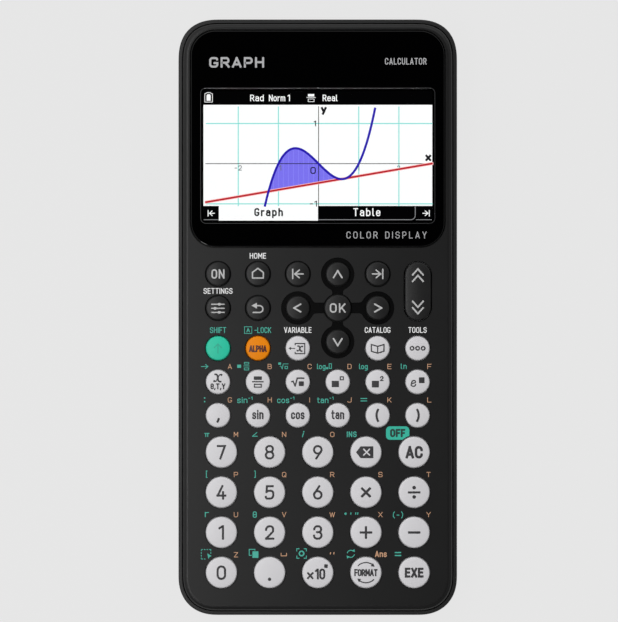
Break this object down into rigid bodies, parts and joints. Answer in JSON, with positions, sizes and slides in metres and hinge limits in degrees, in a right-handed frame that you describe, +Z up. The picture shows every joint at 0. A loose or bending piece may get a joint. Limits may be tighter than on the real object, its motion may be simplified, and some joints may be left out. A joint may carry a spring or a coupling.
{
  "type": "graphing calculator",
  "caption": "Handheld graphing calculator: slim black case, gloss display window with a colour graph, round push keys, a page rocker and a battery cover.",
  "frame": {"origin": "centre of the body's outline, on the plane that its feet rest on", "axes": "+X across the body to the right of a reader, +Y towards the display end, +Z up through the face"},
  "size_m": [0.0884, 0.189, 0.0186],
  "materials": {
    "front_shell": "black moulded plastic with a fine spark-eroded grain",
    "rear_shell": "black moulded plastic with a coarser grain",
    "display_window": "polished acrylic lens, printed black behind its border",
    "lcd_frame": "folded sheet steel frame around the display",
    "silicone": "moulded silicone",
    "circuit_board": "glass-fibre board with green solder mask",
    "battery_sleeve": "printed sleeve over a drawn can with bare ends",
    "key_light": "satin light grey plastic, dark legend",
    "key_dark": "satin dark grey plastic, light legend",
    "key_teal": "satin teal plastic",
    "key_orange": "satin orange plastic, dark legend"
  },
  "bodies": {
    "body": {"front_case": "front_shell", "display_window": "display_window", "lcd_module": "lcd_frame", "rubber_keypad": "silicone", "main_board": "circuit_board", "rear_case": "rear_shell", "battery_cell_1": "battery_sleeve", "battery_cell_2": "battery_sleeve", "battery_cell_3": "battery_sleeve", "battery_cell_4": "battery_sleeve"},
    "battery_cover": {"battery_cover": "rear_shell"},
    "page_rocker": {"key_page_rocker": "key_dark"},
    "key_shift": {"key_shift": "key_teal"},
    "key_ok": {"key_ok": "key_dark"},
    "key_7": {"key_7": "key_light"},
    "key_execute": {"key_execute": "key_light"},
    "key_alpha": {"key_alpha": "key_orange"},
    "key_up": {"key_up": "key_dark"},
    "key_on": {"key_on": "key_dark"},
    "key_home": {"key_home": "key_dark"},
    "key_jump_back": {"key_jump_back": "key_dark"},
    "key_jump_forward": {"key_jump_forward": "key_dark"},
    "key_settings": {"key_settings": "key_dark"},
    "key_return": {"key_return": "key_dark"},
    "key_left": {"key_left": "key_dark"},
    "key_right": {"key_right": "key_dark"},
    "key_variable": {"key_variable": "key_light"},
    "key_down": {"key_down": "key_dark"},
    "key_catalog": {"key_catalog": "key_light"},
    "key_tools": {"key_tools": "key_light"},
    "key_x_theta_t": {"key_x_theta_t": "key_light"},
    "key_fraction": {"key_fraction": "key_light"},
    "key_root": {"key_root": "key_light"},
    "key_power": {"key_power": "key_light"},
    "key_square": {"key_square": "key_light"},
    "key_exponential": {"key_exponential": "key_light"},
    "key_comma": {"key_comma": "key_light"},
    "key_sine": {"key_sine": "key_light"},
    "key_cosine": {"key_cosine": "key_light"},
    "key_tangent": {"key_tangent": "key_light"},
    "key_bracket_open": {"key_bracket_open": "key_light"},
    "key_bracket_close": {"key_bracket_close": "key_light"},
    "key_8": {"key_8": "key_light"},
    "key_9": {"key_9": "key_light"},
    "key_delete": {"key_delete": "key_light"},
    "key_all_clear": {"key_all_clear": "key_light"},
    "key_4": {"key_4": "key_light"},
    "key_5": {"key_5": "key_light"},
    "key_6": {"key_6": "key_light"},
    "key_multiply": {"key_multiply": "key_light"},
    "key_divide": {"key_divide": "key_light"},
    "key_1": {"key_1": "key_light"},
    "key_2": {"key_2": "key_light"},
    "key_3": {"key_3": "key_light"},
    "key_plus": {"key_plus": "key_light"},
    "key_minus": {"key_minus": "key_light"},
    "key_0": {"key_0": "key_light"},
    "key_point": {"key_point": "key_light"},
    "key_times_ten": {"key_times_ten": "key_light"},
    "key_format": {"key_format": "key_light"}
  },
  "joints": [
    {"name": "battery_cover_tilt", "type": "hinge", "parent": "body", "child": "battery_cover", "pos_m": [0, -0.05815, 0.0004], "axis": [-1, 0, 0], "range_deg": [0, 60]},
    {"name": "page_rocker_tilt", "type": "hinge", "parent": "body", "child": "page_rocker", "pos_m": [0.0317, 0.0082, 0.016], "axis": [1, 0, 0], "range_deg": [-3.5, 3.5], "stiffness_Nm_per_rad": 0.0144},
    {"name": "press_shift", "type": "slide", "parent": "body", "child": "key_shift", "axis": [0, 0, -1], "range_m": [0, 0.0008], "stiffness_N_per_m": 400, "springref_m": -0.0008},
    {"name": "press_ok", "type": "slide", "parent": "body", "child": "key_ok", "axis": [0, 0, -1], "range_m": [0, 0.0008], "stiffness_N_per_m": 400, "springref_m": -0.0008},
    {"name": "press_7", "type": "slide", "parent": "body", "child": "key_7", "axis": [0, 0, -1], "range_m": [0, 0.0008], "stiffness_N_per_m": 400, "springref_m": -0.0008},
    {"name": "press_execute", "type": "slide", "parent": "body", "child": "key_execute", "axis": [0, 0, -1], "range_m": [0, 0.0008], "stiffness_N_per_m": 400, "springref_m": -0.0008},
    {"name": "press_alpha", "type": "slide", "parent": "body", "child": "key_alpha", "axis": [0, 0, -1], "range_m": [0, 0.0008], "stiffness_N_per_m": 400, "springref_m": -0.0008},
    {"name": "press_up", "type": "slide", "parent": "body", "child": "key_up", "axis": [0, 0, -1], "range_m": [0, 0.0008], "stiffness_N_per_m": 400, "springref_m": -0.0008},
    {"name": "press_on", "type": "slide", "parent": "body", "child": "key_on", "axis": [0, 0, -1], "range_m": [0, 0.0008], "stiffness_N_per_m": 400, "springref_m": -0.0008},
    {"name": "press_home", "type": "slide", "parent": "body", "child": "key_home", "axis": [0, 0, -1], "range_m": [0, 0.0008], "stiffness_N_per_m": 400, "springref_m": -0.0008},
    {"name": "press_jump_back", "type": "slide", "parent": "body", "child": "key_jump_back", "axis": [0, 0, -1], "range_m": [0, 0.0008], "stiffness_N_per_m": 400, "springref_m": -0.0008},
    {"name": "press_jump_forward", "type": "slide", "parent": "body", "child": "key_jump_forward", "axis": [0, 0, -1], "range_m": [0, 0.0008], "stiffness_N_per_m": 400, "springref_m": -0.0008},
    {"name": "press_settings", "type": "slide", "parent": "body", "child": "key_settings", "axis": [0, 0, -1], "range_m": [0, 0.0008], "stiffness_N_per_m": 400, "springref_m": -0.0008},
    {"name": "press_return", "type": "slide", "parent": "body", "child": "key_return", "axis": [0, 0, -1], "range_m": [0, 0.0008], "stiffness_N_per_m": 400, "springref_m": -0.0008},
    {"name": "press_left", "type": "slide", "parent": "body", "child": "key_left", "axis": [0, 0, -1], "range_m": [0, 0.0008], "stiffness_N_per_m": 400, "springref_m": -0.0008},
    {"name": "press_right", "type": "slide", "parent": "body", "child": "key_right", "axis": [0, 0, -1], "range_m": [0, 0.0008], "stiffness_N_per_m": 400, "springref_m": -0.0008},
    {"name": "press_variable", "type": "slide", "parent": "body", "child": "key_variable", "axis": [0, 0, -1], "range_m": [0, 0.0008], "stiffness_N_per_m": 400, "springref_m": -0.0008},
    {"name": "press_down", "type": "slide", "parent": "body", "child": "key_down", "axis": [0, 0, -1], "range_m": [0, 0.0008], "stiffness_N_per_m": 400, "springref_m": -0.0008},
    {"name": "press_catalog", "type": "slide", "parent": "body", "child": "key_catalog", "axis": [0, 0, -1], "range_m": [0, 0.0008], "stiffness_N_per_m": 400, "springref_m": -0.0008},
    {"name": "press_tools", "type": "slide", "parent": "body", "child": "key_tools", "axis": [0, 0, -1], "range_m": [0, 0.0008], "stiffness_N_per_m": 400, "springref_m": -0.0008},
    {"name": "press_x_theta_t", "type": "slide", "parent": "body", "child": "key_x_theta_t", "axis": [0, 0, -1], "range_m": [0, 0.0008], "stiffness_N_per_m": 400, "springref_m": -0.0008},
    {"name": "press_fraction", "type": "slide", "parent": "body", "child": "key_fraction", "axis": [0, 0, -1], "range_m": [0, 0.0008], "stiffness_N_per_m": 400, "springref_m": -0.0008},
    {"name": "press_root", "type": "slide", "parent": "body", "child": "key_root", "axis": [0, 0, -1], "range_m": [0, 0.0008], "stiffness_N_per_m": 400, "springref_m": -0.0008},
    {"name": "press_power", "type": "slide", "parent": "body", "child": "key_power", "axis": [0, 0, -1], "range_m": [0, 0.0008], "stiffness_N_per_m": 400, "springref_m": -0.0008},
    {"name": "press_square", "type": "slide", "parent": "body", "child": "key_square", "axis": [0, 0, -1], "range_m": [0, 0.0008], "stiffness_N_per_m": 400, "springref_m": -0.0008},
    {"name": "press_exponential", "type": "slide", "parent": "body", "child": "key_exponential", "axis": [0, 0, -1], "range_m": [0, 0.0008], "stiffness_N_per_m": 400, "springref_m": -0.0008},
    {"name": "press_comma", "type": "slide", "parent": "body", "child": "key_comma", "axis": [0, 0, -1], "range_m": [0, 0.0008], "stiffness_N_per_m": 400, "springref_m": -0.0008},
    {"name": "press_sine", "type": "slide", "parent": "body", "child": "key_sine", "axis": [0, 0, -1], "range_m": [0, 0.0008], "stiffness_N_per_m": 400, "springref_m": -0.0008},
    {"name": "press_cosine", "type": "slide", "parent": "body", "child": "key_cosine", "axis": [0, 0, -1], "range_m": [0, 0.0008], "stiffness_N_per_m": 400, "springref_m": -0.0008},
    {"name": "press_tangent", "type": "slide", "parent": "body", "child": "key_tangent", "axis": [0, 0, -1], "range_m": [0, 0.0008], "stiffness_N_per_m": 400, "springref_m": -0.0008},
    {"name": "press_bracket_open", "type": "slide", "parent": "body", "child": "key_bracket_open", "axis": [0, 0, -1], "range_m": [0, 0.0008], "stiffness_N_per_m": 400, "springref_m": -0.0008},
    {"name": "press_bracket_close", "type": "slide", "parent": "body", "child": "key_bracket_close", "axis": [0, 0, -1], "range_m": [0, 0.0008], "stiffness_N_per_m": 400, "springref_m": -0.0008},
    {"name": "press_8", "type": "slide", "parent": "body", "child": "key_8", "axis": [0, 0, -1], "range_m": [0, 0.0008], "stiffness_N_per_m": 400, "springref_m": -0.0008},
    {"name": "press_9", "type": "slide", "parent": "body", "child": "key_9", "axis": [0, 0, -1], "range_m": [0, 0.0008], "stiffness_N_per_m": 400, "springref_m": -0.0008},
    {"name": "press_delete", "type": "slide", "parent": "body", "child": "key_delete", "axis": [0, 0, -1], "range_m": [0, 0.0008], "stiffness_N_per_m": 400, "springref_m": -0.0008},
    {"name": "press_all_clear", "type": "slide", "parent": "body", "child": "key_all_clear", "axis": [0, 0, -1], "range_m": [0, 0.0008], "stiffness_N_per_m": 400, "springref_m": -0.0008},
    {"name": "press_4", "type": "slide", "parent": "body", "child": "key_4", "axis": [0, 0, -1], "range_m": [0, 0.0008], "stiffness_N_per_m": 400, "springref_m": -0.0008},
    {"name": "press_5", "type": "slide", "parent": "body", "child": "key_5", "axis": [0, 0, -1], "range_m": [0, 0.0008], "stiffness_N_per_m": 400, "springref_m": -0.0008},
    {"name": "press_6", "type": "slide", "parent": "body", "child": "key_6", "axis": [0, 0, -1], "range_m": [0, 0.0008], "stiffness_N_per_m": 400, "springref_m": -0.0008},
    {"name": "press_multiply", "type": "slide", "parent": "body", "child": "key_multiply", "axis": [0, 0, -1], "range_m": [0, 0.0008], "stiffness_N_per_m": 400, "springref_m": -0.0008},
    {"name": "press_divide", "type": "slide", "parent": "body", "child": "key_divide", "axis": [0, 0, -1], "range_m": [0, 0.0008], "stiffness_N_per_m": 400, "springref_m": -0.0008},
    {"name": "press_1", "type": "slide", "parent": "body", "child": "key_1", "axis": [0, 0, -1], "range_m": [0, 0.0008], "stiffness_N_per_m": 400, "springref_m": -0.0008},
    {"name": "press_2", "type": "slide", "parent": "body", "child": "key_2", "axis": [0, 0, -1], "range_m": [0, 0.0008], "stiffness_N_per_m": 400, "springref_m": -0.0008},
    {"name": "press_3", "type": "slide", "parent": "body", "child": "key_3", "axis": [0, 0, -1], "range_m": [0, 0.0008], "stiffness_N_per_m": 400, "springref_m": -0.0008},
    {"name": "press_plus", "type": "slide", "parent": "body", "child": "key_plus", "axis": [0, 0, -1], "range_m": [0, 0.0008], "stiffness_N_per_m": 400, "springref_m": -0.0008},
    {"name": "press_minus", "type": "slide", "parent": "body", "child": "key_minus", "axis": [0, 0, -1], "range_m": [0, 0.0008], "stiffness_N_per_m": 400, "springref_m": -0.0008},
    {"name": "press_0", "type": "slide", "parent": "body", "child": "key_0", "axis": [0, 0, -1], "range_m": [0, 0.0008], "stiffness_N_per_m": 400, "springref_m": -0.0008},
    {"name": "press_point", "type": "slide", "parent": "body", "child": "key_point", "axis": [0, 0, -1], "range_m": [0, 0.0008], "stiffness_N_per_m": 400, "springref_m": -0.0008},
    {"name": "press_times_ten", "type": "slide", "parent": "body", "child": "key_times_ten", "axis": [0, 0, -1], "range_m": [0, 0.0008], "stiffness_N_per_m": 400, "springref_m": -0.0008},
    {"name": "press_format", "type": "slide", "parent": "body", "child": "key_format", "axis": [0, 0, -1], "range_m": [0, 0.0008], "stiffness_N_per_m": 400, "springref_m": -0.0008}
  ]
}
